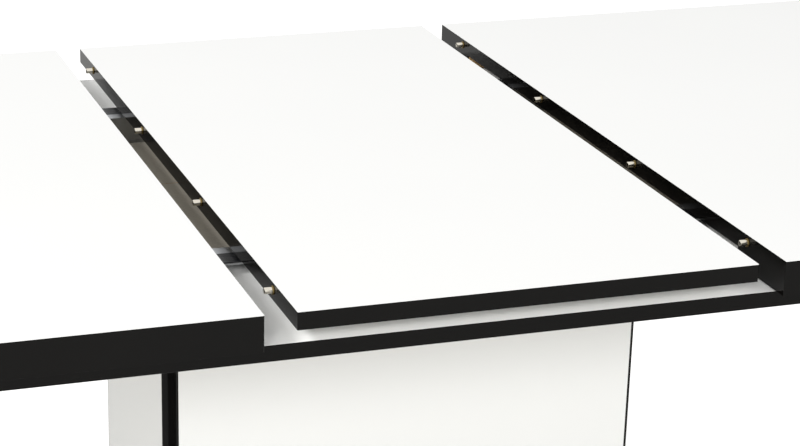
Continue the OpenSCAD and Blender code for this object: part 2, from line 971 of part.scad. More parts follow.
module plinth_end_strips() {
    color(RAW) for (side = [-1, 1]) on_side(side)
        span(plinth_l / 2 - strip_w, plinth_l / 2 - edge_t, -plinth_w / 2 + strip_w,
             plinth_w / 2 - strip_w, z_plinth_low, z_plinth_board);
}

module plinth_edge() {
    color(BLACK) edging(plinth_l, plinth_w, z_plinth_low, strip_t + board_t - face_t);
}

module plinth_glides() {
    color("#2e2e30") for (x = [-plinth_l / 2 + strip_w / 2, 0, plinth_l / 2 - strip_w / 2])
        for (y = [-plinth_w / 2 + strip_w / 2, plinth_w / 2 - strip_w / 2])
            translate([x, y, 0]) rotate_extrude($fn = round_fn) polygon([
                [0, 0], [glide_d / 2 - 2, 0], [glide_d / 2, 2], [glide_d / 2, glide_h], [0, glide_h]
            ]);
}

module plinth_screws() {
    color(STEEL) rib_screw_places(z_plinth_board) screw(foot_screw_l);
}

left_top_board();
left_top_edge();
left_front_strip();
left_back_strip();
left_end_strip();
left_sliders();
left_slider_screws();
left_sockets();
right_top_board();
right_top_edge();
right_front_strip();
right_back_strip();
right_end_strip();
right_sliders();
right_slider_screws();
right_pins();
leaf_board();
leaf_edge();
leaf_pins();
leaf_sockets();
leaf_pads();
deck_front_board();
deck_back_board();
deck_left_board();
deck_right_board();
deck_edge();
deck_dowels();
well_floor_front();
well_floor_back();
floor_screws();
front_rail();
back_rail();
front_glide_strip();
back_glide_strip();
rail_screws();
rail_stops();
top_plate();
plate_screws();
column_left_panel();
column_right_panel();
column_front_panel();
column_back_panel();
side_panel_edge();
face_panel_edge();
column_ribs();
column_dowels();
cam_locks();
cam_bolts();
face_brackets();
bracket_screws();
plinth_board();
plinth_long_strips();
plinth_end_strips();
plinth_edge();
plinth_glides();
plinth_screws();
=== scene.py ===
"""Extending dining table with its loose leaf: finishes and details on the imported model."""

import json
import math

import bmesh
import bpy
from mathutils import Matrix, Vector

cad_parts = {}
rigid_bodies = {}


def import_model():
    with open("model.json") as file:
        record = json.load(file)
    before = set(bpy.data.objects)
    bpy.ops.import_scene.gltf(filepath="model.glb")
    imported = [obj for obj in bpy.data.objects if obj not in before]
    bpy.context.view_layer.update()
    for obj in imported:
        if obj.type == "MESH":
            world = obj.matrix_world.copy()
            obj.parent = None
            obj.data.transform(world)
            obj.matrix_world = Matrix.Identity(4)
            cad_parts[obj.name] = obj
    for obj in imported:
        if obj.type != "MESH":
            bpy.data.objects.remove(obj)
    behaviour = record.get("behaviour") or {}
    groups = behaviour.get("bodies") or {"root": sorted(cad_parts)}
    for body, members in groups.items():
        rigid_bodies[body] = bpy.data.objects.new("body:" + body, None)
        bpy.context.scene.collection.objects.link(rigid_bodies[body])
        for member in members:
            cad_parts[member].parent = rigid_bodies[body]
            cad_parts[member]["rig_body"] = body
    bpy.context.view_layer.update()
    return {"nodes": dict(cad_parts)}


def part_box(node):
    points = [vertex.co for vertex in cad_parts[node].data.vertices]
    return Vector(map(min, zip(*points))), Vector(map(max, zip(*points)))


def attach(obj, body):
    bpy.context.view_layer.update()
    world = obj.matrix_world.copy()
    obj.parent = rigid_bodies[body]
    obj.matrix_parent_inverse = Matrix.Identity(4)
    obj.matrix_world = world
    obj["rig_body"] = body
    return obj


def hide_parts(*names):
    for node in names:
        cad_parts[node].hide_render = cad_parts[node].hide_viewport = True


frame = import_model()

bl_info = {
    "name": "Extending Dining Table",
    "version": (1, 0, 0),
    "blender": (4, 5, 0),
    "location": "View3D > Sidebar > Table",
    "description": "Finishes the boards, edging, guide rails, pins and fittings of an extending table",
    "category": "Add Mesh",
}

MM = 0.001


def linear(colour):
    """Turns an sRGB hex colour into linear RGBA."""
    parts = [int(colour[i : i + 2], 16) / 255 for i in (1, 3, 5)]
    return (*[c / 12.92 if c <= 0.04045 else ((c + 0.055) / 1.055) ** 2.4 for c in parts], 1.0)


def rgba(colour, shade=1.0):
    """A colour property, lighter or darker by shade, as RGBA."""
    return (*[min(c * shade, 1.0) for c in colour], 1.0)


def add(tree, kind, inputs=None, **settings):
    """Adds a node with its settings, and gives each input a value or a link."""
    made = tree.nodes.new(kind)
    for name, value in settings.items():
        setattr(made, name, value)
    for name, value in (inputs or {}).items():
        if isinstance(value, bpy.types.NodeSocket):
            tree.links.new(value, made.inputs[name])
        else:
            made.inputs[name].default_value = value
    return made


# Settings


class FinishSettings(bpy.types.PropertyGroup):
    lacquer: bpy.props.FloatVectorProperty(
        name="White", description="White of the lacquered and the coated boards", subtype="COLOR",
        size=3, min=0, max=1, default=linear("#f5f5f3")[:3])
    melamine: bpy.props.FloatVectorProperty(
        name="Melamine", description="Melamine face of the well's floor and inner boards",
        subtype="COLOR", size=3, min=0, max=1, default=linear("#c8c2b5")[:3])
    edging: bpy.props.FloatVectorProperty(
        name="Edging", description="Black gloss edging", subtype="COLOR",
        size=3, min=0, max=1, default=linear("#090807")[:3])
    nickel: bpy.props.FloatVectorProperty(
        name="Pins", description="Bright nickel of the pins and sockets", subtype="COLOR",
        size=3, min=0, max=1, default=linear("#e6e0d2")[:3])
    # The collars' darker brown is painted shade, standing for the dark reflections that they show
    collar: bpy.props.FloatVectorProperty(
        name="Collars", description="Darkened brass of the pins' collars", subtype="COLOR",
        size=3, min=0, max=1, default=linear("#a08a58")[:3])
    aluminium: bpy.props.FloatVectorProperty(
        name="Aluminium", description="Anodised guide rails", subtype="COLOR",
        size=3, min=0, max=1, default=linear("#c9cbcd")[:3])


class RoundingSettings(bpy.types.PropertyGroup):
    board: bpy.props.FloatProperty(
        name="Boards", description="Rounding of the boards' edges",
        default=0.15 * MM, min=0.05 * MM, max=1 * MM, subtype="DISTANCE", unit="LENGTH")
    edging: bpy.props.FloatProperty(
        name="Edging", description="Rounding of the edging's arrises",
        default=0.9 * MM, min=0.1 * MM, max=0.9 * MM, subtype="DISTANCE", unit="LENGTH")
    metal: bpy.props.FloatProperty(
        name="Metal", description="Rounding of the rails, glide strips, cam fittings and brackets",
        default=0.3 * MM, min=0.05 * MM, max=1 * MM, subtype="DISTANCE", unit="LENGTH")
    moulded: bpy.props.FloatProperty(
        name="Moulded", description="Rounding of the sliders, stops and leaf pads",
        default=0.5 * MM, min=0.1 * MM, max=1 * MM, subtype="DISTANCE", unit="LENGTH")


class FittingSettings(bpy.types.PropertyGroup):
    pin: bpy.props.FloatProperty(
        name="Pin", description="Diameter of a pin",
        default=6 * MM, min=5 * MM, max=6 * MM, subtype="DISTANCE", unit="LENGTH")
    pin_out: bpy.props.FloatProperty(
        name="Pin length", description="How far a pin stands out of the edging",
        default=8.5 * MM, min=7 * MM, max=8.5 * MM, subtype="DISTANCE", unit="LENGTH")
    collar: bpy.props.FloatProperty(
        name="Collar", description="Diameter of a pin's collar",
        default=8.5 * MM, min=7.5 * MM, max=8.5 * MM, subtype="DISTANCE", unit="LENGTH")
    socket: bpy.props.FloatProperty(
        name="Socket", description="Outer diameter of a pin's socket",
        default=10 * MM, min=9 * MM, max=10 * MM, subtype="DISTANCE", unit="LENGTH")
    screw_head: bpy.props.FloatProperty(
        name="Screw head", description="Diameter of a countersunk screw's head",
        default=8 * MM, min=7 * MM, max=8 * MM, subtype="DISTANCE", unit="LENGTH")
    pan_head: bpy.props.FloatProperty(
        name="Pan head", description="Diameter of a pan-head screw's head",
        default=7 * MM, min=6 * MM, max=7 * MM, subtype="DISTANCE", unit="LENGTH")


class StageSettings(bpy.types.PropertyGroup):
    lens: bpy.props.FloatProperty(
        name="Lens", description="Focal length on a 36 mm sensor",
        default=101.598, min=20, max=300, subtype="DISTANCE_CAMERA", unit="CAMERA")
    crop: bpy.props.FloatVectorProperty(
        name="Crop", description="How far the photograph's middle lies off the lens axis",
        size=2, default=(0.1124, 0.0680), min=-0.5, max=0.5)
    camera_at: bpy.props.FloatVectorProperty(
        name="Camera place", description="Where the camera stands",
        default=(-0.7509, -2.1655, 1.4714), subtype="XYZ", unit="LENGTH")
    camera_turn: bpy.props.FloatVectorProperty(
        name="Camera turn", description="How the camera is turned",
        default=[math.radians(a) for a in (69.283, -0.702, -17.347)],
        subtype="EULER", unit="ROTATION")
    dome: bpy.props.FloatProperty(
        name="Dome", description="Strength of the soft light from all round",
        default=0.53, min=0, max=3)
    front: bpy.props.FloatProperty(
        name="Front softbox", description="Power of the low softbox on the right",
        default=60, min=0, max=2000, unit="POWER")
    side: bpy.props.FloatProperty(
        name="Side softbox", description="Power of the softbox on the left",
        default=600, min=0, max=2000, unit="POWER")
    main: bpy.props.FloatProperty(
        name="Main softbox", description="Power shared by the two low softboxes near the camera",
        default=320, min=0, max=2000, unit="POWER")
    floor_lift: bpy.props.FloatProperty(
        name="Floor lift", description="Light of its own that keeps the floor white to the camera",
        default=0.6, min=0, max=1)


# Finishes


def material(name):
    """A new material of that name with an empty tree, and the tree."""
    made = bpy.data.materials.new(name)
    made.use_nodes = True
    made.node_tree.nodes.clear()
    return made, made.node_tree


def surface(tree, shader):
    """Ends a material's tree in its output."""
    add(tree, "ShaderNodeOutputMaterial", {"Surface": shader.outputs[0]})


def white_gloss_lacquer():
    # Board sprayed with polyester lacquer and polished: sharp reflections over a faint orange peel
    made, tree = material("white_gloss_lacquer")
    place = add(tree, "ShaderNodeTexCoord").outputs["Object"]
    look = bpy.context.scene.table_finish
    # The white drifts by 2.5 per cent at most, over some 300 mm
    cloud = add(tree, "ShaderNodeTexNoise", {"Vector": place, "Scale": 1 / 0.3, "Detail": 2.0})
    tone = add(tree, "ShaderNodeMix", {
        0: cloud.outputs["Fac"], 6: rgba(look.lacquer, 0.985), 7: rgba(look.lacquer, 1.01)},
        data_type="RGBA")
    # Orange peel is some 4 mm from crest to crest and a few microns deep
    peel = add(tree, "ShaderNodeTexNoise", {"Vector": place, "Scale": 1 / 0.004, "Detail": 1.0})
    bump = add(tree, "ShaderNodeBump", {
        "Height": peel.outputs["Fac"], "Strength": 0.5, "Distance": 0.004 * MM})
    surface(tree, add(tree, "ShaderNodeBsdfPrincipled", {
        "Base Color": tone.outputs[2], "Normal": bump.outputs["Normal"],
        "Roughness": 0.07, "IOR": 1.5}))
    return made


def white_melamine():
    # Paper-faced board, as under the tops and on the deck: satin, with a fine pearl grain
    made, tree = material("white_melamine")
    place = add(tree, "ShaderNodeTexCoord").outputs["Object"]
    look = bpy.context.scene.table_finish
    cloud = add(tree, "ShaderNodeTexNoise", {"Vector": place, "Scale": 1 / 0.15, "Detail": 3.0})
    tone = add(tree, "ShaderNodeMix", {
        0: cloud.outputs["Fac"], 6: rgba(look.lacquer, 0.97), 7: rgba(look.lacquer, 1.0)},
        data_type="RGBA")
    # The press plate leaves pearls about 0.8 mm across
    pearl = add(tree, "ShaderNodeTexVoronoi", {"Vector": place, "Scale": 1 / 0.0008})
    bump = add(tree, "ShaderNodeBump", {
        "Height": pearl.outputs["Distance"], "Strength": 0.25, "Distance": 0.02 * MM})
    surface(tree, add(tree, "ShaderNodeBsdfPrincipled", {
        "Base Color": tone.outputs[2], "Normal": bump.outputs["Normal"],
        "Roughness": 0.3, "Diffuse Roughness": 0.7, "IOR": 1.5}))
    return made


def stone_melamine():
    # Warm grey melamine of the inner boards: matt, faintly flecked
    made, tree = material("stone_melamine")
    place = add(tree, "ShaderNodeTexCoord").outputs["Object"]
    look = bpy.context.scene.table_finish
    fleck = add(tree, "ShaderNodeTexNoise", {"Vector": place, "Scale": 1 / 0.002, "Detail": 4.0})
    spread = add(tree, "ShaderNodeMapRange", {
        "Value": fleck.outputs["Fac"], "From Min": 0.35, "From Max": 0.65})
    tone = add(tree, "ShaderNodeMix", {
        0: spread.outputs["Result"], 6: rgba(look.melamine, 0.94), 7: rgba(look.melamine, 1.04)},
        data_type="RGBA")
    bump = add(tree, "ShaderNodeBump", {
        "Height": fleck.outputs["Fac"], "Strength": 0.3, "Distance": 0.03 * MM})
    surface(tree, add(tree, "ShaderNodeBsdfPrincipled", {
        "Base Color": tone.outputs[2], "Normal": bump.outputs["Normal"],
        "Roughness": 0.5, "Diffuse Roughness": 0.5, "IOR": 1.5}))
    return made


def sawn_chipboard():
    # Bare edge where a coated board is sawn: pressed wood chips with small voids
    made, tree = material("sawn_chipboard")
    place = add(tree, "ShaderNodeTexCoord").outputs["Object"]
    # Chips are 2 to 5 mm long
    chip = add(tree, "ShaderNodeTexVoronoi", {"Vector": place, "Scale": 1 / 0.003})
    ramp = add(tree, "ShaderNodeValToRGB", {"Fac": chip.outputs["Color"]})
    ramp.color_ramp.elements[0].color = linear("#a98558")
    ramp.color_ramp.elements[1].color = linear("#dcc197")
    ramp.color_ramp.elements.new(0.5).color = linear("#c7a677")
    grain = add(tree, "ShaderNodeTexNoise", {"Vector": place, "Scale": 1 / 0.0015, "Detail": 5.0})
    bump = add(tree, "ShaderNodeBump", {
        "Height": grain.outputs["Fac"], "Strength": 0.6, "Distance": 0.25 * MM})
    surface(tree, add(tree, "ShaderNodeBsdfPrincipled", {
        "Base Color": ramp.outputs["Color"], "Normal": bump.outputs["Normal"],
        "Roughness": 0.85, "IOR": 1.5}))
    return made


def black_abs_edging():
    # Extruded ABS strip, scraped and buffed: deep black with slightly soft reflections.
    # Its IOR is set below that of ABS, which makes them fainter.
    made, tree = material("black_abs_edging")
    place = add(tree, "ShaderNodeTexCoord").outputs["Object"]
    look = bpy.context.scene.table_finish
    # Buffing leaves patches some 60 mm long
    patch = add(tree, "ShaderNodeTexNoise", {"Vector": place, "Scale": 1 / 0.06, "Detail": 2.0})
    rough = add(tree, "ShaderNodeMapRange", {
        "Value": patch.outputs["Fac"], "To Min": 0.09, "To Max": 0.15})
    tone = add(tree, "ShaderNodeMix", {
        0: patch.outputs["Fac"], 6: rgba(look.edging, 0.9), 7: rgba(look.edging, 1.15)},
        data_type="RGBA")
    # The cutters leave ripples about 3 mm apart
    ripple = add(tree, "ShaderNodeTexNoise", {"Vector": place, "Scale": 1 / 0.003, "Detail": 1.0})
    bump = add(tree, "ShaderNodeBump", {
        "Height": ripple.outputs["Fac"], "Strength": 0.4, "Distance": 0.006 * MM})
    surface(tree, add(tree, "ShaderNodeBsdfPrincipled", {
        "Base Color": tone.outputs[2], "Roughness": rough.outputs["Result"],
        "Normal": bump.outputs["Normal"], "IOR": 1.25}))
    return made


def anodised_aluminium():
    # Extruded and anodised: satin metal with fine die lines along the rail
    made, tree = material("anodised_aluminium")
    place = add(tree, "ShaderNodeTexCoord").outputs["Object"]
    look = bpy.context.scene.table_finish
    # Die lines are about 0.4 mm apart and change slowly along X
    along = add(tree, "ShaderNodeMapping", {"Vector": place, "Scale": (1.5, 2500, 2500)})
    line = add(tree, "ShaderNodeTexNoise", {"Vector": along.outputs["Vector"], "Scale": 1.0})
    tone = add(tree, "ShaderNodeMix", {
        0: line.outputs["Fac"], 6: rgba(look.aluminium, 0.9), 7: rgba(look.aluminium, 1.06)},
        data_type="RGBA")
    rough = add(tree, "ShaderNodeMapRange", {
        "Value": line.outputs["Fac"], "To Min": 0.28, "To Max": 0.4})
    bump = add(tree, "ShaderNodeBump", {
        "Height": line.outputs["Fac"], "Strength": 0.3, "Distance": 0.01 * MM})
    surface(tree, add(tree, "ShaderNodeBsdfPrincipled", {
        "Base Color": tone.outputs[2], "Metallic": 1.0, "Roughness": rough.outputs["Result"],
        "Normal": bump.outputs["Normal"]}))
    return made


def black_glide_plastic():
    # Extruded or moulded acetal: smooth and a little waxy
    made, tree = material("black_glide_plastic")
    place = add(tree, "ShaderNodeTexCoord").outputs["Object"]
    # Rubbing leaves streaks along X, about 1 mm apart
    along = add(tree, "ShaderNodeMapping", {"Vector": place, "Scale": (12, 1000, 1000)})
    rub = add(tree, "ShaderNodeTexNoise", {"Vector": along.outputs["Vector"], "Scale": 1.0})
    rough = add(tree, "ShaderNodeMapRange", {
        "Value": rub.outputs["Fac"], "To Min": 0.22, "To Max": 0.36})
    tone = add(tree, "ShaderNodeMix", {
        0: rub.outputs["Fac"], 6: linear("#131416"), 7: linear("#1b1c1e")}, data_type="RGBA")
    surface(tree, add(tree, "ShaderNodeBsdfPrincipled", {
        "Base Color": tone.outputs[2], "Roughness": rough.outputs["Result"], "IOR": 1.48}))
    return made


def turned_nickel():
    # Turned steel with bright nickel: nearly a mirror, with tool marks round the pin
    made, tree = material("turned_nickel")
    place = add(tree, "ShaderNodeTexCoord").outputs["Object"]
    look = bpy.context.scene.table_finish
    # The tool advances about 0.25 mm a turn along the pin, which lies in X
    around = add(tree, "ShaderNodeMapping", {"Vector": place, "Scale": (4000, 60, 60)})
    mark = add(tree, "ShaderNodeTexNoise", {"Vector": around.outputs["Vector"], "Scale": 1.0})
    tone = add(tree, "ShaderNodeMix", {
        0: mark.outputs["Fac"], 6: rgba(look.nickel, 0.9), 7: rgba(look.nickel, 1.04)},
        data_type="RGBA")
    bump = add(tree, "ShaderNodeBump", {
        "Height": mark.outputs["Fac"], "Strength": 0.2, "Distance": 0.01 * MM})
    surface(tree, add(tree, "ShaderNodeBsdfPrincipled", {
        "Base Color": tone.outputs[2], "Metallic": 1.0, "Roughness": 0.16,
        "Normal": bump.outputs["Normal"]}))
    return made


def shade_darkened_brass():
    # Pressed brass ring, darkened and browned as painted shade for the dark reflections that the
    # collars show: metal with a cloudy tone
    made, tree = material("shade_darkened_brass")
    place = add(tree, "ShaderNodeTexCoord").outputs["Object"]
    look = bpy.context.scene.table_finish
    # Tone and roughness vary at random in clouds about 2 mm across
    cloud = add(tree, "ShaderNodeTexNoise", {"Vector": place, "Scale": 1 / 0.002, "Detail": 3.0})
    tone = add(tree, "ShaderNodeMix", {
        0: cloud.outputs["Fac"], 6: rgba(look.collar, 0.7), 7: rgba(look.collar, 1.1)},
        data_type="RGBA")
    rough = add(tree, "ShaderNodeMapRange", {
        "Value": cloud.outputs["Fac"], "To Min": 0.22, "To Max": 0.4})
    surface(tree, add(tree, "ShaderNodeBsdfPrincipled", {
        "Base Color": tone.outputs[2], "Metallic": 1.0, "Roughness": rough.outputs["Result"]}))
    return made


def zinc_plated_steel():
    # Formed or cast metal with bright zinc: cool grey with a cloudy, faintly blue film
    made, tree = material("zinc_plated_steel")
    place = add(tree, "ShaderNodeTexCoord").outputs["Object"]
    cloud = add(tree, "ShaderNodeTexNoise", {"Vector": place, "Scale": 1 / 0.004, "Detail": 3.0})
    tone = add(tree, "ShaderNodeMix", {
        0: cloud.outputs["Fac"], 6: linear("#a9adb2"), 7: linear("#c9ccce")}, data_type="RGBA")
    rough = add(tree, "ShaderNodeMapRange", {
        "Value": cloud.outputs["Fac"], "To Min": 0.24, "To Max": 0.42})
    surface(tree, add(tree, "ShaderNodeBsdfPrincipled", {
        "Base Color": tone.outputs[2], "Metallic": 1.0, "Roughness": rough.outputs["Result"]}))
    return made


def plain_beech():
    # Smooth dowel of steamed beech: pinkish straw with dark flecks
    made, tree = material("plain_beech")
    place = add(tree, "ShaderNodeTexCoord").outputs["Object"]
    # Real pores are finer: the flecks are drawn about 2 mm across so that they show
    grain = add(tree, "ShaderNodeTexNoise", {"Vector": place, "Scale": 1 / 0.002, "Detail": 4.0})
    ramp = add(tree, "ShaderNodeValToRGB", {"Fac": grain.outputs["Fac"]})
    ramp.color_ramp.elements[0].position = 0.35
    ramp.color_ramp.elements[0].color = linear("#b98f63")
    ramp.color_ramp.elements[1].position = 0.65
    ramp.color_ramp.elements[1].color = linear("#dcbb8e")
    surface(tree, add(tree, "ShaderNodeBsdfPrincipled", {
        "Base Color": ramp.outputs["Color"], "Roughness": 0.65, "IOR": 1.5}))
    return made


def pressed_felt():
    # Dark wool felt: fibres in all directions, with a soft nap
    made, tree = material("pressed_felt")
    place = add(tree, "ShaderNodeTexCoord").outputs["Object"]
    # Fibres are drawn 0.6 mm wide so that they show
    fibre = add(tree, "ShaderNodeTexNoise", {
        "Vector": place, "Scale": 1 / 0.0006, "Detail": 6.0, "Distortion": 1.5})
    tone = add(tree, "ShaderNodeMix", {
        0: fibre.outputs["Fac"], 6: linear("#1f1f21"), 7: linear("#3a393a")}, data_type="RGBA")
    bump = add(tree, "ShaderNodeBump", {
        "Height": fibre.outputs["Fac"], "Strength": 0.8, "Distance": 0.3 * MM})
    surface(tree, add(tree, "ShaderNodeBsdfPrincipled", {
        "Base Color": tone.outputs[2], "Normal": bump.outputs["Normal"],
        "Roughness": 0.95, "Sheen Weight": 0.3, "IOR": 1.5}))
    return made


def moulded_polypropylene():
    # Injection-moulded feet: matt with a fine spark-eroded grain
    made, tree = material("moulded_polypropylene")
    place = add(tree, "ShaderNodeTexCoord").outputs["Object"]
    # The grain is drawn 0.8 mm across so that it shows
    grain = add(tree, "ShaderNodeTexNoise", {"Vector": place, "Scale": 1 / 0.0008, "Detail": 2.0})
    tone = add(tree, "ShaderNodeMix", {
        0: grain.outputs["Fac"], 6: linear("#161618"), 7: linear("#222224")}, data_type="RGBA")
    bump = add(tree, "ShaderNodeBump", {
        "Height": grain.outputs["Fac"], "Strength": 0.5, "Distance": 0.05 * MM})
    surface(tree, add(tree, "ShaderNodeBsdfPrincipled", {
        "Base Color": tone.outputs[2], "Normal": bump.outputs["Normal"],
        "Roughness": 0.55, "IOR": 1.49}))
    return made


FINISHES = {
    f.__name__: f
    for f in (
        white_gloss_lacquer, white_melamine, stone_melamine, sawn_chipboard, black_abs_edging,
        anodised_aluminium, black_glide_plastic, turned_nickel, shade_darkened_brass, zinc_plated_steel,
        plain_beech, pressed_felt, moulded_polypropylene)
}


def finish(name):
    """A finish by name, made the first time that it is asked for."""
    return bpy.data.materials.get(name) or FINISHES[name]()


# Pieces

# Corners nearer than this are one corner
WELD = 0.002 * MM
# Faces that meet at fewer degrees than this are one flat face
FLAT_ANGLE = 0.3
# Edges that turn by more degrees than this are rounded
ARRIS_ANGLE = 35
# Edges of turned pieces that turn by more degrees than this stay crisp
CRISP_ANGLE = 32
# The white face over a board's edging is thinner than this
SHEET = 1.0 * MM


def settle(piece):
    """Turns a piece's modifiers into its plain mesh."""
    graph = bpy.context.evaluated_depsgraph_get()
    mesh = bpy.data.meshes.new_from_object(piece.evaluated_get(graph), depsgraph=graph)
    piece.modifiers.clear()
    piece.data = mesh
    return piece


def join(piece, node):
    """Puts a piece on the body of a CAD node."""
    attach(piece, frame["nodes"][node]["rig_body"])
    return piece


def stand_for(piece, node):
    """Puts a piece in the place of a CAD node."""
    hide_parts(node)
    return join(piece, node)


def shell(node):
    """A node's mesh with its loose triangles joined and its flat faces made whole."""
    bm = bmesh.new()
    bm.from_mesh(frame["nodes"][node].data)
    bmesh.ops.remove_doubles(bm, verts=bm.verts, dist=WELD)
    bmesh.ops.dissolve_limit(
        bm, angle_limit=math.radians(FLAT_ANGLE), verts=bm.verts, edges=bm.edges)
    return bm


def rounded(node, kind, rounding, coat, cut=None, segments=2):
    """A node with rounded edges. A cut finish goes on the faces across its least extent."""
    bm = shell(node)
    low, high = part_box(node)
    thin = min(range(3), key=lambda i: high[i] - low[i])
    mesh = bpy.data.meshes.new(f"{node}_{kind}")
    mesh.materials.append(finish(coat))
    if cut:
        mesh.materials.append(finish(cut))
        for face in bm.faces:
            across = [v.co[thin] for v in face.verts]
            deep = max(across) - min(across) > SHEET
            face.material_index = int(deep and abs(face.normal[thin]) < 0.5)
    for face in bm.faces:
        face.smooth = True
    bm.to_mesh(mesh)
    bm.free()
    # The flat piece's own normals and marks would show through the rounding
    for name in ("custom_normal", "sharp_edge", "sharp_face", "UVMap"):
        if name in mesh.attributes:
            mesh.attributes.remove(mesh.attributes[name])
    piece = bpy.data.objects.new(f"{node}_{kind}", mesh)
    bpy.context.scene.collection.objects.link(piece)
    edge = piece.modifiers.new("Rounding", "BEVEL")
    edge.width = rounding
    edge.segments = segments
    edge.limit_method = "ANGLE"
    edge.angle_limit = math.radians(ARRIS_ANGLE)
    edge.harden_normals = True
    settle(piece)
    return stand_for(piece, node)


def turned(name, profile, steps):
    """A turned piece along +Z, from pairs of radius and height in metres."""
    bm = bmesh.new()
    line = [bm.verts.new((r, 0, z)) for r, z in profile]
    edges = [bm.edges.new(pair) for pair in zip(line, line[1:])]
    bmesh.ops.spin(
        bm, geom=line + edges, cent=(0, 0, 0), axis=(0, 0, 1), angle=2 * math.pi, steps=steps)
    bmesh.ops.remove_doubles(bm, verts=bm.verts, dist=WELD)
    bmesh.ops.recalc_face_normals(bm, faces=bm.faces)
    for face in bm.faces:
        face.smooth = True
    mesh = bpy.data.meshes.new(name)
    bm.to_mesh(mesh)
    bm.free()
    mesh.set_sharp_from_angle(angle=math.radians(CRISP_ANGLE))
    piece = bpy.data.objects.new(name, mesh)
    bpy.context.scene.collection.objects.link(piece)
    return piece


# Radius of a screw's shank, and length of its point
SHANK = 2 * MM
POINT = 2 * MM
# Cross recess of a screw: width of its arms, depth, and the share of their reach at the bottom
RECESS_W = 0.9 * MM
RECESS_DEEP = 1.4 * MM
RECESS_TAPER = 0.45
# The cutter starts this far outside the head
RECESS_OVER = 0.4 * MM


def recessed(piece, reach):
    """Cuts a tapered cross recess into the face at the foot of a turned piece."""
    bm = bmesh.new()
    for arm in (0, 1):
        for v in bmesh.ops.create_cube(bm, size=1)["verts"]:
            deep = v.co.z > 0
            size = [RECESS_W, RECESS_W]
            size[arm] = reach * RECESS_TAPER if deep else reach
            height = RECESS_DEEP if deep else -RECESS_OVER
            v.co = Vector((v.co.x * size[0], v.co.y * size[1], height))
    mesh = bpy.data.meshes.new("recess")
    bm.to_mesh(mesh)
    bm.free()
    cutter = bpy.data.objects.new("recess", mesh)
    bpy.context.scene.collection.objects.link(cutter)
    cut = piece.modifiers.new("Recess", "BOOLEAN")
    cut.object = cutter
    cut.solver = "EXACT"
    cut.use_self = True
    settle(piece)
    bpy.data.objects.remove(cutter)
    return piece


def seating():
    """The tree that seats a piece on every point, along its drive, turned by chance on its axis."""
    tree = bpy.data.node_groups.get("Seated fittings")
    if tree:
        return tree
    tree = bpy.data.node_groups.new("Seated fittings", "GeometryNodeTree")
    for name, kind in (
            ("Geometry", "NodeSocketGeometry"), ("Fitting", "NodeSocketObject"),
            ("Finish", "NodeSocketMaterial"), ("Most turn", "NodeSocketFloat"),
            ("Seed", "NodeSocketInt")):
        tree.interface.new_socket(name, in_out="INPUT", socket_type=kind)
    tree.interface.new_socket("Geometry", in_out="OUTPUT", socket_type="NodeSocketGeometry")
    given = add(tree, "NodeGroupInput").outputs
    drive = add(tree, "GeometryNodeInputNamedAttribute", {"Name": "drive"},
                data_type="FLOAT_VECTOR")
    along = add(tree, "FunctionNodeAlignRotationToVector", {
        "Vector": drive.outputs["Attribute"]}, axis="Z")
    chance = add(tree, "FunctionNodeRandomValue", {
        2: 0.0, 3: given["Most turn"], "Seed": given["Seed"]}, data_type="FLOAT")
    spin = add(tree, "FunctionNodeAxisAngleToRotation", {
        "Axis": (0, 0, 1), "Angle": chance.outputs[1]})
    turn = add(tree, "FunctionNodeRotateRotation", {
        "Rotation": along.outputs[0], "Rotate By": spin.outputs[0]}, rotation_space="LOCAL")
    info = add(tree, "GeometryNodeObjectInfo", {"Object": given["Fitting"]})
    seated = add(tree, "GeometryNodeInstanceOnPoints", {
        "Points": given["Geometry"], "Instance": info.outputs["Geometry"],
        "Rotation": turn.outputs[0]})
    real = add(tree, "GeometryNodeRealizeInstances", {"Geometry": seated.outputs[0]})
    coat = add(tree, "GeometryNodeSetMaterial", {
        "Geometry": real.outputs[0], "Material": given["Finish"]})
    add(tree, "NodeGroupOutput", {"Geometry": coat.outputs[0]})
    return tree


# Points beyond this share of a solid's length from its middle belong to its end
END_SHARE = 0.42


def seats(node, towards=None):
    """Start, way and length of each solid of a node: unless told, away from its broad end."""
    bm = bmesh.new()
    bm.from_mesh(frame["nodes"][node].data)
    bmesh.ops.remove_doubles(bm, verts=bm.verts, dist=WELD)
    left = set(bm.verts)
    found = []
    while left:
        stack = [left.pop()]
        solid = []
        while stack:
            v = stack.pop()
            solid.append(v.co.copy())
            for e in v.link_edges:
                other = e.other_vert(v)
                if other in left:
                    left.remove(other)
                    stack.append(other)
        low = Vector([min(c[i] for c in solid) for i in range(3)])
        high = Vector([max(c[i] for c in solid) for i in range(3)])
        middle = (low + high) / 2
        size = high - low
        if towards:
            way = Vector(towards)
            i = max(range(3), key=lambda k: abs(way[k]))
        else:
            i = max(range(3), key=lambda k: size[k])
            radius = {}
            for sign in (-1, 1):
                near = [c for c in solid if sign * (c[i] - middle[i]) > END_SHARE * size[i]]
                radius[sign] = max(
                    math.dist([c[k] for k in range(3) if k != i],
                              [middle[k] for k in range(3) if k != i]) for c in near)
            way = Vector((0, 0, 0))
            way[i] = 1 if radius[-1] >= radius[1] else -1
        start = middle.copy()
        start[i] = low[i] if way[i] > 0 else high[i]
        found.append((start, way, size[i]))
    bm.free()
    found.sort(key=lambda s: tuple(round(c, 6) for c in s[0]))
    return found


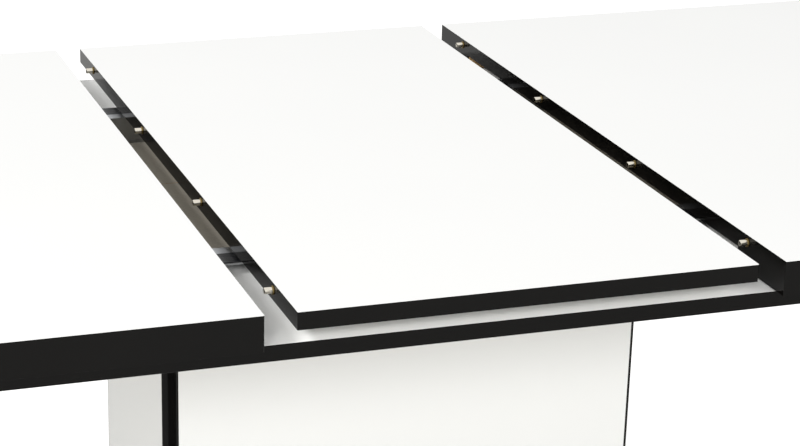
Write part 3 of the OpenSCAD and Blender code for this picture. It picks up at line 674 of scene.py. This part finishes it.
def beside(node, kind, fitting, coat, towards=None, turn=0.0, seed=1):
    """A copy of a fitting at each solid of a node, as one piece on the node's body."""
    mesh = bpy.data.meshes.new(f"{node}_{kind}")
    places = seats(node, towards)
    mesh.from_pydata([s for s, _, _ in places], [], [])
    drive = mesh.attributes.new("drive", "FLOAT_VECTOR", "POINT")
    for i, (_, way, _) in enumerate(places):
        drive.data[i].vector = way
    piece = bpy.data.objects.new(f"{node}_{kind}", mesh)
    bpy.context.scene.collection.objects.link(piece)
    nodes = piece.modifiers.new("Seats", "NODES")
    nodes.node_group = seating()
    values = {"Fitting": fitting, "Finish": finish(coat), "Most turn": turn, "Seed": seed}
    for item in nodes.node_group.interface.items_tree:
        if item.item_type == "SOCKET" and item.in_out == "INPUT" and item.name in values:
            nodes[item.identifier] = values[item.name]
    return join(settle(piece), node)


def seated(node, *given, **more):
    """Seats a fitting in each solid of a node, in the node's place."""
    return stand_for(beside(node, *given, **more), node)


def length_of(node):
    """The length of a node's first solid along its own axis."""
    return seats(node)[0][2]


def countersunk(head, deep):
    """Profile of a countersunk screw, from its head's radius and its length."""
    soft = 0.15 * MM
    rim = 0.4 * MM
    cone = 2.3 * MM
    fillet = 0.2 * MM
    neck = 3 * MM
    return [
        (0, 0), (head - soft, 0), (head, soft), (head, rim), (SHANK + fillet, cone),
        (SHANK, neck), (SHANK, deep - POINT), (0, deep)]


def pan_headed(head, deep):
    """Profile of a pan-head screw, from its head's radius and its length."""
    tall = 2.2 * MM
    # Each point of the crown lies so far in from the head's side, and so far down
    crown = [(1.5 * MM, 0), (0.8 * MM, 0.2 * MM), (0.25 * MM, 0.6 * MM), (0, 1.2 * MM)]
    return [
        (0, 0), *[(head - inset, z) for inset, z in crown], (head, tall), (SHANK, tall),
        (SHANK, deep - POINT), (0, deep)]


def dowel_rod(deep):
    """Profile of a dowel with chamfered ends, from its length."""
    r = 4 * MM
    end = 3.2 * MM
    chamfer = 0.9 * MM
    return [(0, 0), (end, 0), (r, chamfer), (r, deep - chamfer), (end, deep), (0, deep)]


# Stage

# The softboxes face this point near the table's top, from so far away, each so wide
MIDDLE = Vector((0, 0, 0.7))
SOFTBOX_AWAY = 10.0
SOFTBOX_SIZE = 2.0
FLOOR_RADIUS = 20.0


def pale_floor(lift):
    """A pale floor that shows white, with the table's shadow, and lights the table as it is lit."""
    bm = bmesh.new()
    bmesh.ops.create_circle(bm, cap_ends=True, radius=FLOOR_RADIUS, segments=96)
    mesh = bpy.data.meshes.new("floor")
    bm.to_mesh(mesh)
    bm.free()
    floor = bpy.data.objects.new("floor", mesh)
    bpy.context.scene.collection.objects.link(floor)
    made, tree = material("pale_floor")
    rays = add(tree, "ShaderNodeLightPath").outputs
    matt = add(tree, "ShaderNodeBsdfDiffuse", {"Color": linear("#e6e6e4")})
    glow = add(tree, "ShaderNodeEmission", {"Color": (1, 1, 1, 1), "Strength": lift})
    both = add(tree, "ShaderNodeAddShader", {0: matt.outputs[0], 1: glow.outputs[0]})
    top = add(tree, "ShaderNodeMixShader", {
        0: rays["Is Camera Ray"], 1: matt.outputs[0], 2: both.outputs[0]})
    # Seen from below the floor is clear, so that the underside of the table shows
    side = add(tree, "ShaderNodeNewGeometry").outputs["Backfacing"]
    surface(tree, add(tree, "ShaderNodeMixShader", {
        0: side, 1: top.outputs[0], 2: add(tree, "ShaderNodeBsdfTransparent").outputs[0]}))
    mesh.materials.append(made)


def soft_dome(strength):
    """A white backdrop all round, which lights the table by its strength alone."""
    world = bpy.data.worlds.new("soft_dome")
    world.use_nodes = True
    tree = world.node_tree
    tree.nodes.clear()
    rays = add(tree, "ShaderNodeLightPath").outputs
    seen = add(tree, "ShaderNodeMath", {
        0: rays["Is Camera Ray"], 1: rays["Is Glossy Ray"]}, operation="MAXIMUM")
    seen = add(tree, "ShaderNodeMath", {
        0: seen.outputs[0], 1: rays["Is Transmission Ray"]}, operation="MAXIMUM")
    light = add(tree, "ShaderNodeBackground", {"Color": (1, 1, 1, 1), "Strength": strength})
    white = add(tree, "ShaderNodeBackground", {"Color": (1, 1, 1, 1), "Strength": 1.0})
    mixed = add(tree, "ShaderNodeMixShader", {
        0: seen.outputs[0], 1: light.outputs[0], 2: white.outputs[0]})
    add(tree, "ShaderNodeOutputWorld", {"Surface": mixed.outputs[0]})
    return world


def softbox(name, heading, height, power):
    """A softbox that faces the table from so many degrees left of the front and up."""
    lamp = bpy.data.lights.new(name, "AREA")
    lamp.shape = "RECTANGLE"
    lamp.size = SOFTBOX_SIZE
    lamp.size_y = SOFTBOX_SIZE
    lamp.energy = power
    box = bpy.data.objects.new(name, lamp)
    turn = math.radians(heading)
    rise = math.radians(height)
    way = Vector((-math.sin(turn) * math.cos(rise), -math.cos(turn) * math.cos(rise),
                  math.sin(rise)))
    box.location = MIDDLE + way * SOFTBOX_AWAY
    box.rotation_euler = (-way).to_track_quat("-Z", "Y").to_euler()
    box.visible_glossy = False
    bpy.context.scene.collection.objects.link(box)


# Operators


class TABLE_OT_boards(bpy.types.Operator):
    """Finishes the boards and strips of the tops, leaf, deck, well, column and plinth"""

    bl_idname = "table.boards"
    bl_label = "Boards"

    def execute(self, context):
        r = context.scene.table_rounding.board
        for node in ("left_top_board", "right_top_board", "leaf_board", "column_left_panel",
                     "column_right_panel", "column_front_panel", "column_back_panel",
                     "plinth_board"):
            rounded(node, "lacquered", r, "white_gloss_lacquer")
        for node in ("deck_front_board", "deck_back_board", "deck_left_board", "deck_right_board",
                     "left_front_strip", "left_back_strip", "left_end_strip",
                     "right_front_strip", "right_back_strip", "right_end_strip",
                     "plinth_long_strips", "plinth_end_strips"):
            rounded(node, "coated", r, "white_melamine", "sawn_chipboard")
        for node in ("well_floor_front", "well_floor_back", "top_plate", "column_ribs"):
            rounded(node, "coated", r, "stone_melamine", "sawn_chipboard")
        return {"FINISHED"}


class TABLE_OT_edging(bpy.types.Operator):
    """Rounds and finishes the black edging"""

    bl_idname = "table.edging"
    bl_label = "Edging"

    def execute(self, context):
        r = context.scene.table_rounding.edging
        for node in ("left_top_edge", "right_top_edge", "leaf_edge", "deck_edge",
                     "side_panel_edge", "face_panel_edge", "plinth_edge"):
            rounded(node, "buffed", r, "black_abs_edging", segments=3)
        return {"FINISHED"}


class TABLE_OT_rails(bpy.types.Operator):
    """Finishes the guide rails, their glide strips and their stops"""

    bl_idname = "table.rails"
    bl_label = "Guide rails"

    def execute(self, context):
        r = context.scene.table_rounding
        for side in ("front", "back"):
            rounded(f"{side}_rail", "anodised", r.metal, "anodised_aluminium")
            rounded(f"{side}_glide_strip", "smooth", r.metal, "black_glide_plastic")
        rounded("rail_stops", "moulded", r.moulded, "black_glide_plastic")
        return {"FINISHED"}


class TABLE_OT_sliders(bpy.types.Operator):
    """Finishes the hooked sliders of both halves and the leaf's pads"""

    bl_idname = "table.sliders"
    bl_label = "Sliders and pads"

    def execute(self, context):
        r = context.scene.table_rounding
        for half in ("left", "right"):
            rounded(f"{half}_sliders", "moulded", r.moulded, "black_glide_plastic")
        rounded("leaf_pads", "felted", r.moulded, "pressed_felt")
        return {"FINISHED"}


class TABLE_OT_pins(bpy.types.Operator):
    """Turns the pins of the leaf and right half, their collars, and the sockets"""

    bl_idname = "table.pins"
    bl_label = "Pins and sockets"

    def execute(self, context):
        size = context.scene.table_fitting
        r = size.pin / 2
        full = length_of("leaf_pins")
        chamfer = 0.6 * MM
        tip = 0.9 * MM
        nose = [(r - tip * (1 - math.cos(a)), full - tip * (1 - math.sin(a)))
                for a in [math.radians(d) for d in (0, 22, 45, 68, 90)]]
        pin = turned("pin", [(0, 0), (r - chamfer, 0), (r, chamfer), *nose, (0, full)], 48)
        c = size.collar / 2
        low = full - size.pin_out
        high = low + 1.2 * MM
        # The collar's outer arris is rounded in two short facets
        soft = 0.35 * MM
        facet = 0.1 * MM
        collar = turned("collar", [
            (r, low), (c, low), (c, high - soft), (c - facet, high - facet), (c - soft, high),
            (r, high), (r, low)], 48)
        for node in ("leaf_pins", "right_pins"):
            seated(node, "turned", pin, "turned_nickel", (-1, 0, 0))
            beside(node, "collars", collar, "shade_darkened_brass", (-1, 0, 0))
        bpy.data.objects.remove(pin)
        bpy.data.objects.remove(collar)
        outer = size.socket / 2
        deep = length_of("leaf_sockets")
        play = 0.08 * MM
        bore = r + play
        bottom = deep - 2 * MM
        rim = 0.2 * MM
        # The mouth flares so that a pin finds its way in
        flare = 0.8 * MM
        socket = turned("socket", [
            (0, bottom), (bore, bottom), (bore, flare), (bore + 0.25 * MM, 0.3 * MM),
            (bore + flare, 0), (outer - rim, 0), (outer, rim), (outer, deep), (0, deep)], 48)
        for node in ("left_sockets", "leaf_sockets"):
            seated(node, "turned", socket, "turned_nickel", (-1, 0, 0))
        bpy.data.objects.remove(socket)
        return {"FINISHED"}


class TABLE_OT_fasteners(bpy.types.Operator):
    """Makes the screws, dowels, cam fittings and brackets"""

    bl_idname = "table.fasteners"
    bl_label = "Fasteners"

    def execute(self, context):
        size = context.scene.table_fitting
        for seed, node in enumerate(("floor_screws", "plate_screws", "rail_screws",
                                     "plinth_screws")):
            screw = turned("screw", countersunk(size.screw_head / 2, length_of(node)), 24)
            recessed(screw, 4.4 * MM)
            seated(node, "zinc", screw, "zinc_plated_steel", turn=2 * math.pi, seed=seed)
            bpy.data.objects.remove(screw)
        for seed, node in enumerate(("left_slider_screws", "right_slider_screws",
                                     "bracket_screws")):
            screw = turned("screw", pan_headed(size.pan_head / 2, length_of(node)), 24)
            recessed(screw, 4.0 * MM)
            seated(node, "zinc", screw, "zinc_plated_steel", turn=2 * math.pi, seed=10 + seed)
            bpy.data.objects.remove(screw)
        for node in ("deck_dowels", "column_dowels"):
            dowel = turned("dowel", dowel_rod(length_of(node)), 24)
            seated(node, "beech", dowel, "plain_beech")
            bpy.data.objects.remove(dowel)
        for node, kind in (("cam_locks", "cast"), ("cam_bolts", "turned"),
                           ("face_brackets", "folded")):
            rounded(node, kind, context.scene.table_rounding.metal, "zinc_plated_steel")
        return {"FINISHED"}


class TABLE_OT_feet(bpy.types.Operator):
    """Moulds the floor glides under the plinth"""

    bl_idname = "table.feet"
    bl_label = "Floor glides"

    def execute(self, context):
        low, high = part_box("plinth_glides")
        tall = high.z - low.z
        r = 15 * MM
        rim = 0.3 * MM
        # Each point of the sole's round edge lies so far in from the side, and so far up
        sole = [(2.2 * MM, 0), (1.2 * MM, 0.3 * MM), (0.4 * MM, 1 * MM), (0, 2 * MM)]
        foot = turned("foot", [
            (0, 0), *[(r - inset, z) for inset, z in sole], (r, tall - rim), (r - rim, tall),
            (0, tall)], 40)
        seated("plinth_glides", "moulded", foot, "moulded_polypropylene", (0, 0, 1))
        bpy.data.objects.remove(foot)
        return {"FINISHED"}


class TABLE_OT_stage(bpy.types.Operator):
    """Sets up the floor, the soft light and the camera"""

    bl_idname = "table.stage"
    bl_label = "Stage"

    def execute(self, context):
        scene = context.scene
        stage = scene.table_stage
        pale_floor(stage.floor_lift)
        scene.world = soft_dome(stage.dome)
        softbox("front_softbox", heading=-25, height=25, power=stage.front)
        softbox("left_softbox", heading=28.5, height=26, power=stage.main / 2)
        softbox("middle_softbox", heading=12, height=25, power=stage.main / 2)
        softbox("side_softbox", heading=63, height=37.5, power=stage.side)
        lens = bpy.data.cameras.new("camera")
        lens.sensor_width = 36
        lens.lens = stage.lens
        lens.shift_x, lens.shift_y = stage.crop
        camera = bpy.data.objects.new("camera", lens)
        camera.location = stage.camera_at
        camera.rotation_euler = stage.camera_turn
        scene.collection.objects.link(camera)
        scene.camera = camera
        scene.view_settings.view_transform = "Standard"
        return {"FINISHED"}


class TABLE_PT_panel(bpy.types.Panel):
    """Lists the table's settings and operators"""

    bl_label = "Extending table"
    bl_idname = "TABLE_PT_panel"
    bl_space_type = "VIEW_3D"
    bl_region_type = "UI"
    bl_category = "Table"

    def draw(self, context):
        for group in GROUPS:
            box = self.layout.box()
            settings = getattr(context.scene, group)
            for name in settings.bl_rna.properties.keys():
                if name not in ("rna_type", "name"):
                    box.prop(settings, name)
        for operator in STEPS:
            self.layout.operator(operator.bl_idname)


GROUPS = {
    "table_finish": FinishSettings,
    "table_rounding": RoundingSettings,
    "table_fitting": FittingSettings,
    "table_stage": StageSettings,
}
STEPS = (
    TABLE_OT_boards, TABLE_OT_edging, TABLE_OT_rails, TABLE_OT_sliders, TABLE_OT_pins,
    TABLE_OT_fasteners, TABLE_OT_feet, TABLE_OT_stage)
CLASSES = (*GROUPS.values(), *STEPS, TABLE_PT_panel)


def register():
    for cls in CLASSES:
        bpy.utils.register_class(cls)
    for name, group in GROUPS.items():
        setattr(bpy.types.Scene, name, bpy.props.PointerProperty(type=group))


def unregister():
    for name in GROUPS:
        delattr(bpy.types.Scene, name)
    for cls in reversed(CLASSES):
        bpy.utils.unregister_class(cls)


def main():
    register()
    for operator in STEPS:
        group, name = operator.bl_idname.split(".")
        getattr(getattr(bpy.ops, group), name)()
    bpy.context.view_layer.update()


if __name__ == "__main__":
    main()
